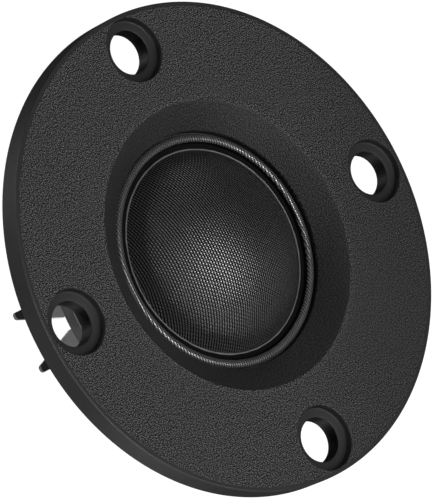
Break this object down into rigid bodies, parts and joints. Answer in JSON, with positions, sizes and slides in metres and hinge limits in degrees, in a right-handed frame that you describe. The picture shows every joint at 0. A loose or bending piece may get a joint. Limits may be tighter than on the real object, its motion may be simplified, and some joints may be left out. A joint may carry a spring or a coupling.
{
  "type": "car tweeter",
  "caption": "Flush-mount car tweeter: round black flange with counterbored screw holes, a woven dome in a cloth surround, a small motor and two flat solder lugs behind.",
  "frame": {"origin": "middle of the flat back face of the rear cap, on the axis of the tweeter", "axes": "+Z out of the dome along the axis of the tweeter; -Y towards the terminal side, where the two lugs stick out under one of the screw holes; +X to the right seen from that side"},
  "size_m": [0.064, 0.064, 0.0202],
  "materials": {
    "black_plastic": "fine moulded grain on the front, smooth elsewhere",
    "carrier_plastic": "smooth moulded",
    "dome_cloth": "coated plain weave",
    "surround_cloth": "coated plain weave",
    "clear_glue": "cured clear glue",
    "black_glue": "cured black glue",
    "former_foil": "thin rolled foil",
    "copper_wire": "enamelled copper",
    "tinned_wire": "tinned copper",
    "black_steel": "black passivated steel",
    "plated_steel": "zinc plated",
    "nickel": "nickel plated",
    "felt": "pressed felt",
    "tinned_brass": "tinned, dull",
    "solder": "solder"
  },
  "bodies": {
    "frame": {"faceplate": "black_plastic", "diaphragm_ring": "carrier_plastic", "surround": "surround_cloth", "yoke_cup": "black_steel", "magnet": "nickel", "pole_plate": "plated_steel", "pole_felt": "felt", "motor_glue_bead": "black_glue", "rear_cap": "carrier_plastic", "rear_felt": "felt", "lug_positive": "tinned_brass", "rivet_positive": "plated_steel", "solder_joint_positive": "solder", "lead_wire_positive": "tinned_wire", "lug_negative": "tinned_brass", "rivet_negative": "plated_steel", "solder_joint_negative": "solder", "lead_wire_negative": "tinned_wire"},
    "diaphragm": {"dome": "dome_cloth", "dome_glue_bead": "clear_glue", "voice_coil_former": "former_foil", "voice_coil_winding": "copper_wire"}
  },
  "joints": [
    {"name": "dome_travel", "type": "slide", "parent": "frame", "child": "diaphragm", "axis": [0, 0, 1], "range_m": [-0.0004, 0.0004], "stiffness_N_per_m": 14000, "deforming": ["surround", "lead_wire_positive", "lead_wire_negative"]}
  ]
}
